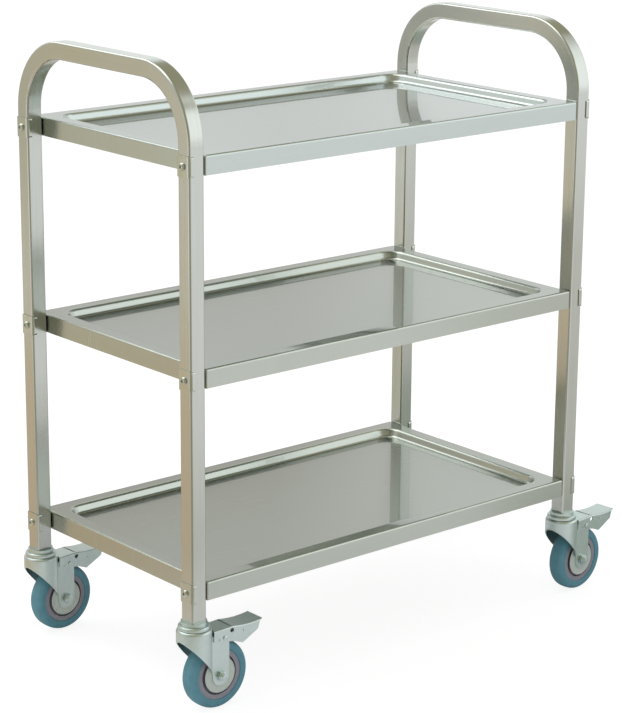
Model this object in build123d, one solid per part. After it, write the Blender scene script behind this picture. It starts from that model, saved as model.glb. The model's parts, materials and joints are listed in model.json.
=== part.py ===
from build123d import *
import os
from math import atan2, cos, degrees, radians, sin, tan

# A three-tier serving trolley, in millimetres.
# X runs along its length, Y across its width and Z up, with Z = 0 on the floor.
# It is built about the centre of its frame, and moved at the end to the middle of its footprint.

# Overall sizes
frame_length = 750          # over the outer faces of the two end frames
frame_width = 400           # over the outer faces of the legs
frame_height = 900          # floor to the top of the handles
caster_height = 136         # floor to the foot of the legs

# Square tube of the end frames
tube_size = 25
tube_wall = 1.2
tube_corner = 3             # outer corner radius
handle_bend = 92.5          # centre-line radius of the two handle bends

# Trays, pressed from sheet
bottom_tray_height = 192    # floor to the border of the tray
middle_tray_height = 494
top_tray_height = 783
tray_sheet = 1
apron_height = 27
apron_lip = 8               # return flange along the bottom of the apron
tray_edge = 3               # outer bend radius of the folded edges
tray_corner = 2             # upright corner radius
tray_border = 24            # border round the sunk floor
recess_depth = 12.5
recess_run = 4.5            # how far the recess wall leans inwards
recess_corner = 26
recess_rim = 5              # bend radius where the border turns down
recess_foot = 5             # bend radius where the wall meets the floor

# Bolted joints between legs and trays
saddle_sheet = 1.5
saddle_height = 29
saddle_wrap = 4             # how far a plate reaches round the sides of the leg
saddle_corner = 4
bolt_diameter = 6
bolt_head_diameter = 11
bolt_head_height = 3.5
bolt_head_slope = 2.4       # chamfer that makes the head a dome
bolt_past_nut = 2
nut_width = 10              # across flats
nut_height = 5
spacer_thickness = 1.2      # gap between leg and tray
spacer_diameter = 12

# Clearances, each on one side
seat_gap = 0.05             # pieces that are pushed or screwed home
bolt_gap = 0.25             # bolts in drilled holes
running_gap = 0.08          # turning fits
side_gap = 0.3              # moving faces that pass each other

# Caster stem and swivel bearing
insert_length = 36          # plug inside the foot of a leg
stem_diameter = 12
stem_length = 32            # screwed into the plug
flange_diameter = 37
flange_thickness = 5
top_race_diameter = 45
top_race_height = 5.6
top_race_edge = 2.5         # rounding of its upper edge
king_pin_diameter = 10
king_head_diameter = 18
king_head_height = 3
lower_washer_diameter = 26
lower_washer_thickness = 2.5
race_gap = 0.4              # between the fixed and the turning race
ball_diameter = 4
ball_circle = 30            # diameter of the circle of balls
ball_sides = 8              # sides of the ball ring's section

# Fork, pressed from sheet
caster_trail = 35           # axle behind the swivel axis
fork_sheet = 1.8
crown_diameter = 50
crown_height = 15           # depth of the round crown at its front
crown_top = 4               # thickness of its raceway
crown_edge = 4              # rounding of its upper edge
fork_rake = 49.5            # slope of the front edge of the legs, in degrees
fork_knee = 14              # rounding where that edge turns down to the axle
leg_end_radius = 14.5
leg_top_drop = 14           # top of the legs below the top of the crown

# Wheel
wheel_diameter = 100
wheel_width = 26
wheel_side_gap = 0.7        # tyre to fork leg
tyre_bore = 73
tyre_shoulder = 7
rim_width = 22
rim_thickness = 7
web_thickness = 10
boss_diameter = 22
bush_diameter = 13
axle_diameter = 8
axle_nut_width = 13
axle_nut_height = 7.5
axle_head_height = 5.3
axle_past_nut = 1.9
guard_diameter = 52
guard_thickness = 1.6
guard_chamfer = 0.7

# Brake pedal, a pressed channel over the fork
pedal_sheet = 1.4
pedal_front = 22            # start of the cheeks behind the swivel axis
pedal_crown_gap = 1.5       # between the channel and the round crown
pedal_crest = 55            # where its top changes slope
pedal_tip = 107
pedal_top = 119             # height of the crest above the floor
pedal_fall = 1              # fall of the top from the crest to either end
pedal_dish = 2.2            # hollow of the tread between crest and tip
pedal_overhang = 4          # tread past the cheeks
pedal_front_depth = 16.5    # depth of the cheeks at the front
pedal_waist = 57            # where the lower edge of the cheeks steepens
pedal_waist_depth = 23
pedal_heel = 72             # lowest corner of the cheeks
pedal_heel_depth = 29
pedal_rear_depth = 15       # lower end of the rear edge
pedal_rear_lean = 3.5       # how far that edge leans forwards
pedal_bend = 1.8
pedal_slot = 2.4            # gap across the top in front of the crest
pedal_hole = 6.5
pedal_hole_front = 1.7      # hole in front of the crest
pedal_hole_drop = 6
pedal_dimple = 4.5
pedal_dimple_depth = 0.6
rear_dimple_back = 17       # rear dimple behind the crest
rear_dimple_drop = 10.3
front_dimple_back = 7.5     # front dimple behind the start of the cheeks
pin_diameter = 5
pin_head_diameter = 9
pin_head_height = 1.5
pin_back = 41               # pin behind the swivel axis
pin_height = 104.5          # pin above the floor
brake_angle = 18            # full travel of the pedal, in degrees
brake_contact = 24          # where the tab meets the tyre, in degrees behind its top
brake_gap = 0.6             # left between tab and tyre at full travel
brake_tab_width = 20

# Casters at rest: end and side of the trolley, and how far each has turned, in degrees
casters = {
    "front_left": (-1, -1, 0),
    "back_left": (-1, 1, 2.4),
    "front_right": (1, -1, 3.8),
    "back_right": (1, 1, 0),
}

# Sizes that follow from those above
tube_bore = tube_size - 2 * tube_wall
leg_x = (frame_length - tube_size) / 2
leg_y = (frame_width - tube_size) / 2
tray_length = frame_length - 2 * (tube_size + spacer_thickness)
tray_heights = (bottom_tray_height, middle_tray_height, top_tray_height)
bolt_drop = apron_height / 2
race_top = caster_height - flange_thickness
race_bottom = race_top - top_race_height
crown_z = race_bottom - race_gap
washer_z = crown_z - crown_top - side_gap
king_head_z = washer_z - lower_washer_thickness
axle_z = wheel_diameter / 2
leg_inner = wheel_width / 2 + wheel_side_gap
leg_outer = leg_inner + fork_sheet
leg_back = caster_trail + leg_end_radius
leg_top = crown_z - leg_top_drop
cheek_inner = leg_outer + side_gap
cheek_outer = cheek_inner + pedal_sheet
guard_inner = leg_inner - guard_thickness


def turned(*points):
    """A piece turned about Z, from the corners of its half section as radius and height."""
    return revolve(Plane.XZ * make_face(Polyline(*points, close=True)), Axis.Z)


def rod(diameter, length, bottom=0):
    """A round bar that stands on the height given."""
    return Pos(0, 0, bottom) * Cylinder(diameter / 2, length, align=(Align.CENTER, Align.CENTER, Align.MIN))


def hexagon(width, height, bottom=0):
    """A hexagon bar of the width given across its flats."""
    return extrude(Pos(0, 0, bottom) * RegularPolygon(width / 2, 6, major_radius=False), height)


def across(shape):
    """Turns a piece made along Z so that its top points along -Y."""
    return Rot(90, 0, 0) * shape


def group(shapes):
    """Like pieces kept as separate solids of one node."""
    return Compound(children=list(shapes))


# End frames

def end_frame(end):
    """Two legs and the handle between them, bent from one length of square tube."""
    x = end * leg_x
    top = frame_height - tube_size / 2
    path = FilletPolyline(
        (x, -leg_y, caster_height), (x, -leg_y, top), (x, leg_y, top), (x, leg_y, caster_height),
        radius=handle_bend,
    )
    section = RectangleRounded(tube_size, tube_size, tube_corner)
    section -= RectangleRounded(tube_bore, tube_bore, tube_corner - tube_wall)
    frame = sweep(Pos(x, -leg_y, caster_height) * section, path)
    hole = Cylinder(bolt_diameter / 2 + bolt_gap, 2 * tube_size, rotation=(0, 90, 0))
    for height in tray_heights:
        for y in (-leg_y, leg_y):
            frame -= Pos(x, y, height - bolt_drop) * hole
    return frame


# Trays

def sink_floor(blank, height, skin):
    """Sinks the floor into a blank and rounds its rim and foot, with a skin for the underside of the sheet."""
    lean = atan2(recess_run, recess_depth)
    shift = skin * tan((radians(90) - lean) / 2)
    inset = 2 * (tray_border - shift)
    mouth = RectangleRounded(tray_length - inset, frame_width - inset, recess_corner + shift)
    sunk = blank - extrude(Pos(0, 0, height - skin) * mouth, -recess_depth, taper=degrees(lean))
    floor = sunk.faces().filter_by(Axis.Z).group_by(Axis.Z)[-2].sort_by(SortBy.AREA)[-1]
    sunk = fillet(floor.edges(), recess_foot + skin)
    border = sunk.faces().filter_by(Axis.Z).group_by(Axis.Z)[-1].sort_by(SortBy.AREA)[-1]
    return fillet(border.inner_wires()[0].edges(), recess_rim - skin)


def folded_box(length, width, bottom, top, corner, edge):
    """A block with its upright corners and its top edges rounded, as folded sheet is."""
    standing = (Align.CENTER, Align.CENTER, Align.MIN)
    block = Pos(0, 0, bottom) * Box(length, width, top - bottom, align=standing)
    block = fillet(block.edges().filter_by(Axis.Z), corner)
    return fillet(block.faces().sort_by(Axis.Z)[-1].edges(), edge)


def tray(height):
    """One pressing: border, sunk floor, aprons folded down and a return lip below them."""
    bottom = height - apron_height
    outside = folded_box(tray_length, frame_width, bottom, height, tray_corner, tray_edge)
    inside = folded_box(
        tray_length - 2 * tray_sheet, frame_width - 2 * tray_sheet, bottom + tray_sheet, height - tray_sheet,
        tray_corner - tray_sheet, tray_edge - tray_sheet,
    )
    mouth = Pos(0, 0, bottom) * Box(tray_length - 2 * apron_lip, frame_width - 2 * apron_lip, 4 * tray_sheet)
    shell = sink_floor(outside, height, 0) - sink_floor(inside, height, tray_sheet) - mouth
    hole = Cylinder(bolt_diameter / 2 + bolt_gap, 4 * tray_sheet, rotation=(0, 90, 0))
    for x in (-tray_length / 2, tray_length / 2):
        for y in (-leg_y, leg_y):
            shell -= Pos(x, y, height - bolt_drop) * hole
    return shell


# Bolted joints, each built with X pointing out of the leg's outer face

def joint_places():
    """Every place where a leg meets a tray."""
    for end in (-1, 1):
        turn = 0 if end > 0 else 180
        for y in (-leg_y, leg_y):
            for height in tray_heights:
                yield Pos(end * frame_length / 2, y, height - bolt_drop) * Rot(0, 0, turn)


def saddle_plate():
    """Pressed plate that wraps the outer face of a leg and spreads the load of the bolt head."""
    inner = tube_size + 2 * seat_gap
    outer = inner + 2 * saddle_sheet
    skin = RectangleRounded(outer, outer, tube_corner + seat_gap + saddle_sheet)
    skin -= RectangleRounded(inner, inner, tube_corner + seat_gap)
    reach = tube_size / 2 - tube_corner - saddle_wrap
    skin &= Pos(reach, 0) * Rectangle(outer, 2 * outer, align=(Align.MIN, Align.CENTER))
    plate = extrude(Pos(-tube_size / 2, 0) * skin, saddle_height / 2, both=True)
    face = Plane.YZ * RectangleRounded(outer, saddle_height, saddle_corner)
    plate &= extrude(face, outer, both=True)
    return plate - Cylinder(bolt_diameter / 2 + bolt_gap, 4 * outer, rotation=(0, 90, 0))


def tray_bolt():
    """Dome-headed bolt through plate, leg, spacer and apron."""
    reach = tube_size + spacer_thickness + tray_sheet + nut_height + bolt_past_nut
    seat = seat_gap + saddle_sheet
    head = rod(bolt_head_diameter, bolt_head_height, seat)
    head = chamfer(head.edges().sort_by(Axis.Z)[-1], bolt_head_slope)
    return Rot(0, 90, 0) * (head + rod(bolt_diameter, seat + reach, -reach))


def spacer_washer():
    """Thin washer that keeps the tray off the leg."""
    ring = rod(spacer_diameter, spacer_thickness) - rod(bolt_diameter + 2 * bolt_gap, spacer_thickness)
    return Rot(0, 90, 0) * Pos(0, 0, -tube_size - spacer_thickness) * ring


def tray_nut():
    """Hexagon nut against the inside of the apron."""
    nut = hexagon(nut_width, nut_height) - rod(bolt_diameter + 2 * seat_gap, nut_height)
    inner_face = tube_size + spacer_thickness + tray_sheet
    return Rot(0, 90, 0) * Pos(0, 0, -inner_face - nut_height) * nut


# Casters, each built on its swivel axis with the wheel trailing along X

def tube_insert():
    """Square plug in the foot of a leg, bored for the caster stem."""
    side = tube_bore - 2 * seat_gap
    section = RectangleRounded(side, side, tube_corner - tube_wall)
    plug = extrude(Pos(0, 0, caster_height) * section, insert_length)
    return plug - rod(stem_diameter + 2 * seat_gap, insert_length, caster_height)


def caster_stem():
    """Stem, flange and king pin turned in one piece, with the lower end spread under the washer."""
    stem, flange = stem_diameter / 2, flange_diameter / 2
    pin, head = king_pin_diameter / 2, king_head_diameter / 2
    return turned(
        (0, king_head_z - king_head_height), (head, king_head_z - king_head_height), (head, king_head_z),
        (pin, king_head_z), (pin, race_top), (flange, race_top), (flange, caster_height),
        (stem, caster_height), (stem, caster_height + stem_length), (0, caster_height + stem_length),
    )


def ball_track(gap):
    """The ring of balls in its cage, or with a gap the groove that it runs in."""
    section = RegularPolygon(ball_diameter / 2 + gap, ball_sides, major_radius=False)
    centred = Pos(ball_circle / 2, race_bottom - race_gap / 2) * section
    return revolve(Plane.XZ * centred, Axis.Z)


def top_race():
    """Fixed upper race under the flange, with its ball groove."""
    bore, rim = king_pin_diameter / 2 + seat_gap, top_race_diameter / 2
    race = turned((bore, race_bottom), (rim, race_bottom), (rim, race_top), (bore, race_top))
    race = fillet(race.edges().group_by(Axis.Z)[-1].sort_by(SortBy.RADIUS)[-1], top_race_edge)
    return race - ball_track(running_gap)


def lower_washer():
    """Fixed washer below the crown, held by the spread end of the king pin."""
    washer = rod(lower_washer_diameter, lower_washer_thickness, king_head_z)
    return washer - rod(king_pin_diameter + 2 * seat_gap, lower_washer_thickness, king_head_z)


def fork_outline():
    """Side view of the legs: raked front edge, knee, round end at the axle and straight back."""
    front = -crown_diameter / 2
    skirt = crown_z - crown_height
    toe = caster_trail - leg_end_radius
    knee = skirt - (toe - front) * tan(radians(fork_rake))
    side = make_face(Polyline(
        (front, leg_top), (front, skirt), (toe, knee), (toe, axle_z), (leg_back, axle_z), (leg_back, leg_top),
        close=True,
    ))
    knee_point = side.vertices().sort_by_distance((toe, knee))[0]
    side = fillet(knee_point, min(fork_knee, 2 * (knee - axle_z)))
    return side + Pos(caster_trail, axle_z) * Circle(leg_end_radius)


def fork():
    """Pressed fork: round crown with its ball groove, and two flat legs that run out of its sides."""
    crown, inside = crown_diameter / 2, crown_diameter / 2 - fork_sheet
    skirt = crown_z - crown_height
    bore = king_pin_diameter / 2 + running_gap
    cup = turned(
        (bore, crown_z), (crown, crown_z), (crown, skirt), (inside, skirt),
        (inside, crown_z - crown_top), (bore, crown_z - crown_top),
    )
    cup = fillet(cup.edges().group_by(Axis.Z)[-1].sort_by(SortBy.RADIUS)[-1], crown_edge)
    start = (Align.MIN, Align.CENTER)
    plan = Circle(crown) + Rectangle(leg_back, 2 * leg_outer, align=start)
    plan -= Circle(inside) + Rectangle(2 * leg_back, 2 * leg_inner, align=start)
    walls = extrude(plan, leg_top)
    legs = walls & extrude(Plane.XZ * fork_outline(), crown_diameter, both=True)
    axle_hole = Cylinder(axle_diameter / 2 + bolt_gap, 4 * leg_outer, rotation=(90, 0, 0))
    pin_hole = Cylinder(pin_diameter / 2 + seat_gap, 4 * leg_outer, rotation=(90, 0, 0))
    pressed = cup + legs - ball_track(running_gap)
    return pressed - Pos(caster_trail, 0, axle_z) * axle_hole - Pos(pin_back, 0, pin_height) * pin_hole


def on_axle(shape):
    """Places a piece made about Z on the wheel's axle, its top towards -Y."""
    return Pos(caster_trail, 0, axle_z) * across(shape)


def axle_bolt():
    """Hexagon bolt through both legs and the bush."""
    head = hexagon(axle_nut_width, axle_head_height, -leg_outer - axle_head_height)
    shank = rod(axle_diameter, 2 * leg_outer + axle_nut_height + axle_past_nut, -leg_outer)
    return on_axle(head + shank)


def axle_nut():
    """Hexagon nut on the outer leg."""
    nut = hexagon(axle_nut_width, axle_nut_height, leg_outer)
    return on_axle(nut - rod(axle_diameter + 2 * seat_gap, axle_nut_height, leg_outer))


def bush():
    """Steel sleeve clamped between the legs, on which the wheel turns."""
    sleeve = rod(bush_diameter, 2 * leg_inner, -leg_inner)
    return on_axle(sleeve - rod(axle_diameter + 2 * bolt_gap, 2 * leg_inner, -leg_inner))


def thread_guard(side):
    """Light disc against the inside of a leg that keeps threads off the axle."""
    disc = rod(guard_diameter, guard_thickness, guard_inner)
    disc = chamfer(disc.edges().sort_by(Axis.Z)[-1], guard_chamfer)
    disc -= rod(bush_diameter + 2 * seat_gap, guard_thickness, guard_inner)
    return on_axle(disc if side < 0 else Rot(180, 0, 0) * disc)


def hub():
    """Moulded wheel centre: boss, web and rim."""
    bore, boss = bush_diameter / 2 + running_gap, boss_diameter / 2
    rim = tyre_bore / 2
    rim_inside = rim - rim_thickness
    boss_end = guard_inner - side_gap
    web, side = web_thickness / 2, rim_width / 2
    half = [
        (bore, boss_end), (boss, boss_end), (boss, web),
        (rim_inside, web), (rim_inside, side), (rim, side),
    ]
    return on_axle(turned(*half, *[(radius, -height) for radius, height in reversed(half)]))


def tyre():
    """Rubber tyre with round shoulders, seated on the rim."""
    side = wheel_width / 2
    tread = wheel_diameter / 2
    section = make_face(Polyline(
        (tyre_bore / 2, -side), (tread, -side), (tread, side), (tyre_bore / 2, side), close=True,
    ))
    section = fillet(section.vertices().group_by(Axis.X)[-1], tyre_shoulder)
    return on_axle(revolve(Plane.XZ * section, Axis.Z))


# Brake pedal

def brake_tab_end():
    """Lower end of the brake tab at rest, turned back from where it meets the tyre."""
    reach = wheel_diameter / 2 + brake_gap
    x = caster_trail + reach * sin(radians(brake_contact)) - pin_back
    z = axle_z + reach * cos(radians(brake_contact)) - pin_height
    turn = radians(brake_angle)
    return pin_back + x * cos(turn) - z * sin(turn), pin_height + x * sin(turn) + z * cos(turn)


def tread_line(drop):
    """Top of the pedal in side view, lowered by the drop given: straight front and dished tread."""
    crest = (pedal_crest, pedal_top - drop)
    end = pedal_top - pedal_fall - drop
    middle = ((pedal_crest + pedal_tip) / 2, end + pedal_fall / 2 - pedal_dish)
    return [Line((pedal_front, end), crest), ThreePointArc(crest, middle, (pedal_tip, end))]


def pedal_side():
    """Side view of the pedal: tread line, overhanging tip and the lower edge of the cheeks."""
    end = pedal_top - pedal_fall
    rear = pedal_tip - pedal_overhang
    lower_edge = Polyline(
        (pedal_tip, end), (pedal_tip, end - pedal_sheet), (rear, end - 2 * pedal_sheet),
        (rear - pedal_rear_lean, pedal_top - pedal_rear_depth), (pedal_heel, pedal_top - pedal_heel_depth),
        (pedal_waist, pedal_top - pedal_waist_depth), (pedal_front, pedal_top - pedal_front_depth),
        (pedal_front, end),
    )
    return make_face([*tread_line(0), *lower_edge.edges()])


def pedal_hollow():
    """Side view of the space inside the channel, open at both ends and below."""
    end = pedal_top - pedal_fall - pedal_sheet
    front, rear = pedal_front - pedal_overhang, pedal_tip + pedal_overhang
    surround = Polyline(
        (pedal_tip, end), (rear, end), (rear, 0), (front, 0), (front, end), (pedal_front, end),
    )
    return make_face([*tread_line(pedal_sheet), *surround.edges()])


def brake_pedal():
    """Pressed channel with cheeks outside the fork legs, and the brake tab inside."""
    channel = extrude(Plane.XZ * pedal_side(), cheek_outer, both=True)
    tops = channel.faces().filter_by(lambda face: face.normal_at().Z > cos(radians(brake_angle)))
    bends = [edge for edge in tops.edges() if abs(edge.center().Y) > cheek_inner]
    channel = fillet(bends, pedal_bend)
    channel -= extrude(Plane.XZ * pedal_hollow(), cheek_inner, both=True)
    channel -= rod(crown_diameter + 2 * pedal_crown_gap, pedal_top + crown_height)
    slot = Box(pedal_slot, 2 * (cheek_inner - pedal_bend), 2 * pedal_hole_front)
    channel -= Pos(pedal_crest - pedal_slot, 0, pedal_top) * slot
    hole = Cylinder(pedal_hole / 2, 4 * cheek_outer, rotation=(90, 0, 0))
    channel -= Pos(pedal_crest - pedal_hole_front, 0, pedal_top - pedal_hole_drop) * hole
    pin_hole = Cylinder(pin_diameter / 2 + running_gap, 4 * cheek_outer, rotation=(90, 0, 0))
    channel -= Pos(pin_back, 0, pin_height) * pin_hole
    dimple = Cylinder(pedal_dimple / 2, 2 * pedal_dimple_depth, rotation=(90, 0, 0))
    for y in (-cheek_outer, cheek_outer):
        channel -= Pos(pedal_crest + rear_dimple_back, y, pedal_top - rear_dimple_drop) * dimple
        channel -= Pos(pedal_front + front_dimple_back, y, pin_height) * dimple
    tab_x, tab_z = brake_tab_end()
    along = (tab_x - pedal_crest) / (pedal_tip - pedal_crest)
    tread = pedal_top - pedal_fall * along - 4 * pedal_dish * along * (1 - along)
    tab_top = tread - pedal_sheet / 2
    tab = Box(pedal_sheet, brake_tab_width, tab_top - tab_z, align=(Align.MIN, Align.CENTER, Align.MIN))
    return channel + Pos(tab_x, 0, tab_z) * tab


def pedal_pin():
    """Riveted pin through both cheeks and both legs."""
    head_at = cheek_outer + side_gap
    shank = rod(pin_diameter, 2 * head_at, -head_at)
    near = rod(pin_head_diameter, pin_head_height, head_at)
    far = rod(pin_head_diameter, pin_head_height, -head_at - pin_head_height)
    return Pos(pin_back, 0, pin_height) * across(near + shank + far)


# Assembly

def caster_place(name, turned_too=True):
    """Where a caster stands, with or without the turn that it has at rest."""
    end, side, turn = casters[name]
    return Pos(end * leg_x, side * leg_y, 0) * Rot(0, 0, turn if turned_too else 0)


fixed_places = [caster_place(name, turned_too=False) for name in casters]

nodes = {
    "left_end_frame": end_frame(-1),
    "right_end_frame": end_frame(1),
    "bottom_tray": tray(bottom_tray_height),
    "middle_tray": tray(middle_tray_height),
    "top_tray": tray(top_tray_height),
    "saddle_plates": group(place * saddle_plate() for place in joint_places()),
    "tray_bolts": group(place * tray_bolt() for place in joint_places()),
    "spacer_washers": group(place * spacer_washer() for place in joint_places()),
    "tray_nuts": group(place * tray_nut() for place in joint_places()),
    "tube_inserts": group(place * tube_insert() for place in fixed_places),
    "caster_stems": group(place * caster_stem() for place in fixed_places),
    "top_races": group(place * top_race() for place in fixed_places),
    "lower_washers": group(place * lower_washer() for place in fixed_places),
}

for name in casters:
    place = caster_place(name)
    nodes[f"{name}_fork"] = place * fork()
    nodes[f"{name}_ball_ring"] = place * ball_track(0)
    nodes[f"{name}_axle_bolt"] = place * axle_bolt()
    nodes[f"{name}_axle_nut"] = place * axle_nut()
    nodes[f"{name}_bush"] = place * bush()
    nodes[f"{name}_thread_guards"] = group([place * thread_guard(-1), place * thread_guard(1)])
    nodes[f"{name}_hub"] = place * hub()
    nodes[f"{name}_tyre"] = place * tyre()
    nodes[f"{name}_brake_pedal"] = place * brake_pedal()
    nodes[f"{name}_pedal_pin"] = place * pedal_pin()

boxes = [shape.bounding_box() for shape in nodes.values()]
middle_x = (min(box.min.X for box in boxes) + max(box.max.X for box in boxes)) / 2
middle_y = (min(box.min.Y for box in boxes) + max(box.max.Y for box in boxes)) / 2
to_origin = Pos(-middle_x, -middle_y, 0)

os.makedirs("parts", exist_ok=True)
for name, shape in nodes.items():
    solids = [to_origin * solid for solid in shape.solids()]
    export_step(group(solids) if len(solids) > 1 else solids[0], f"parts/{name}.step")
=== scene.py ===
import bmesh
import bpy
import json
from math import atan2, cos, pi, radians, tan
from mathutils import Matrix, Vector


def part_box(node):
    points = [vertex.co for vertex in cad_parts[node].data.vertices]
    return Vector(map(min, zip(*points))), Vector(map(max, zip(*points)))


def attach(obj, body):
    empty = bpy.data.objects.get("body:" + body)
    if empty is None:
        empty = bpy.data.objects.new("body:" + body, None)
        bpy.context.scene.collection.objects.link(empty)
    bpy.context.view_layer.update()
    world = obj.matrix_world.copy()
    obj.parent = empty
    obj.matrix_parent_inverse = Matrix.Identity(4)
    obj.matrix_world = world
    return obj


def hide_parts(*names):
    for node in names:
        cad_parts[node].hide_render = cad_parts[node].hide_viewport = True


# A three-tier serving trolley in stainless steel, in metres; turned pieces are drawn in millimetres.
# X runs along its length, Y across its width and Z up, with the floor at Z = 0.
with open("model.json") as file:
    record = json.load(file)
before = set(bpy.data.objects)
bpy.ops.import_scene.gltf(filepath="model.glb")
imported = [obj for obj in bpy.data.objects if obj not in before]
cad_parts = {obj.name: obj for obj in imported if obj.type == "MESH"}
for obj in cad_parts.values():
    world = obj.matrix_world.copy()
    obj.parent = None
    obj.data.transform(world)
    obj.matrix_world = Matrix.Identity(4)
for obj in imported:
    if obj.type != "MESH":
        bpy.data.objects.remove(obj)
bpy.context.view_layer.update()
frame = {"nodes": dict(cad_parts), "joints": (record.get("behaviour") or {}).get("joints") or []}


# The camera stands where the photograph was taken from: in front, to the left and above.
# Its place, turn and lens were fitted to the edges of the trolley in a frame of 622 x 713.
camera_place = (-2.22761, -2.57707, 1.3462)
camera_turn, camera_dip, camera_roll = -40.362, 15.515, 0.427
focal_length = 118.31
lens = bpy.data.cameras.new("photo_lens")
lens.lens = focal_length
camera = bpy.data.objects.new("photo_camera", lens)
camera.matrix_world = (
    Matrix.Translation(camera_place)
    @ Matrix.Rotation(radians(camera_turn), 4, "Z")
    @ Matrix.Rotation(radians(90 - camera_dip), 4, "X")
    @ Matrix.Rotation(radians(camera_roll), 4, "Z")
)
bpy.context.scene.collection.objects.link(camera)
bpy.context.scene.camera = camera
bpy.context.scene.view_settings.view_transform = "Standard"


# The studio floor: wide and pale, it runs into a white background and keeps the trolley's shadow.
# The camera sees it white. The steel mirrors soft patches of it: warm at the back left, dimmer behind
# and in a sector at the front right, grey close by at the right, and dark at the front left.
def linear(code):
    """An sRGB hex colour as linear red, green, blue and alpha."""
    parts = [int(code[i:i + 2], 16) / 255 for i in (1, 3, 5)]
    return [p / 12.92 if p <= 0.04045 else ((p + 0.055) / 1.055) ** 2.4 for p in parts] + [1]


def put(tree, kind, inputs=None, **settings):
    """Adds one node, sets its properties, and sets or links its inputs."""
    made = tree.nodes.new(kind)
    for name, value in settings.items():
        setattr(made, name, value)
    for name, value in (inputs or {}).items():
        if isinstance(value, bpy.types.NodeSocket):
            tree.links.new(value, made.inputs[name])
        else:
            made.inputs[name].default_value = value
    return made


def bare(made):
    """Empties the nodes of a new material or world, and returns its tree."""
    made.use_nodes = True
    made.node_tree.nodes.clear()
    return made.node_tree


def by_ray(tree, shown, mirrored, other):
    """One shader for the camera, one for mirrors and glass, and one for all other light."""
    path = put(tree, "ShaderNodeLightPath").outputs
    gloss = put(tree, "ShaderNodeMath",
                {0: path["Is Glossy Ray"], 1: path["Is Transmission Ray"]}, operation="MAXIMUM")
    both = put(tree, "ShaderNodeMixShader",
               {0: gloss.outputs[0], 1: other.outputs[0], 2: mirrored.outputs[0]})
    return put(tree, "ShaderNodeMixShader",
               {0: path["Is Camera Ray"], 1: both.outputs[0], 2: shown.outputs[0]}).outputs[0]


def piece(name, mesh, material):
    """A new object at the origin, with its place in its mesh."""
    data = bpy.data.meshes.new(name)
    mesh.to_mesh(data)
    mesh.free()
    data.materials.append(material)
    made = bpy.data.objects.new(name, data)
    bpy.context.scene.collection.objects.link(made)
    return made


smoothly = {"interpolation_type": "SMOOTHSTEP"}
in_colour = {"data_type": "RGBA"}
floor_radius, floor_drop, floor_sides = 14, 0.0004, 96
floor_white = "#FFFFFF"
floor_shadow, floor_bounce = "#868686", "#E7E7E7"
floor_glow, mirror_shadow = 0.86, 0.85
mirror_glow = {"From Min": 0.8, "From Max": 4.0, "To Min": 0.17, "To Max": 0.36}
floor_warm, warm_spot = "#D5C1A7", (-1.2, 0.8, 0)
warm_fade = {"From Min": 1.3, "From Max": 0.6}
floor_side, side_way = "#E0DED9", (0.899, -0.438, 0)
side_edge = {"From Min": 0.906, "From Max": 0.961}
side_end = {"From Min": 4.6, "From Max": 2.7}
floor_strip, strip_way = "#CBC9BC", (0.757, 0.653, 0)
strip_edge = {"From Min": 0.17, "From Max": 0.36}
strip_start = {"From Min": 0.35, "From Max": 0.7}
floor_grey, grey_spot = "#AFB8AE", (0.88, -0.08, 0)
grey_fade = {"From Min": 0.62, "From Max": 0.36}
floor_dark, front_left = "#A9A48F", (-0.65, -0.76, 0)
dark_edge = {"From Min": 0.5, "From Max": 0.95}
dark_start = {"From Min": 0.55, "From Max": 0.9}

studio_floor = bpy.data.materials.new("pale_studio_floor")
tree = bare(studio_floor)
spot = put(tree, "ShaderNodeTexCoord").outputs["Object"]
heading = put(tree, "ShaderNodeVectorMath", {0: spot}, operation="NORMALIZE").outputs["Vector"]
away = put(tree, "ShaderNodeVectorMath", {0: spot}, operation="LENGTH").outputs["Value"]
apart = put(tree, "ShaderNodeVectorMath", {0: spot, 1: warm_spot}, operation="DISTANCE")
warm = put(tree, "ShaderNodeMapRange", {"Value": apart.outputs["Value"], **warm_fade}, **smoothly)
shade = put(tree, "ShaderNodeMix",
            {0: warm.outputs[0], 6: linear(floor_white), 7: linear(floor_warm)}, **in_colour)
to_side = put(tree, "ShaderNodeVectorMath", {0: heading, 1: side_way}, operation="DOT_PRODUCT")
sector = put(tree, "ShaderNodeMapRange", {"Value": to_side.outputs["Value"], **side_edge}, **smoothly)
near = put(tree, "ShaderNodeMapRange", {"Value": away, **side_end}, **smoothly)
sector = put(tree, "ShaderNodeMath", {0: sector.outputs[0], 1: near.outputs[0]}, operation="MULTIPLY")
shade = put(tree, "ShaderNodeMix",
            {0: sector.outputs[0], 6: shade.outputs[2], 7: linear(floor_side)}, **in_colour)
across = put(tree, "ShaderNodeVectorMath", {0: spot, 1: strip_way}, operation="DOT_PRODUCT")
strip = put(tree, "ShaderNodeMapRange", {"Value": across.outputs["Value"], **strip_edge}, **smoothly)
back = put(tree, "ShaderNodeSeparateXYZ", {0: spot}).outputs["Y"]
back = put(tree, "ShaderNodeMapRange", {"Value": back, **strip_start}, **smoothly)
strip = put(tree, "ShaderNodeMath", {0: strip.outputs[0], 1: back.outputs[0]}, operation="MULTIPLY")
shade = put(tree, "ShaderNodeMix",
            {0: strip.outputs[0], 6: shade.outputs[2], 7: linear(floor_strip)}, **in_colour)
apart = put(tree, "ShaderNodeVectorMath", {0: spot, 1: grey_spot}, operation="DISTANCE")
grey = put(tree, "ShaderNodeMapRange", {"Value": apart.outputs["Value"], **grey_fade}, **smoothly)
shade = put(tree, "ShaderNodeMix",
            {0: grey.outputs[0], 6: shade.outputs[2], 7: linear(floor_grey)}, **in_colour)
to_front = put(tree, "ShaderNodeVectorMath", {0: heading, 1: front_left}, operation="DOT_PRODUCT")
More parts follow.
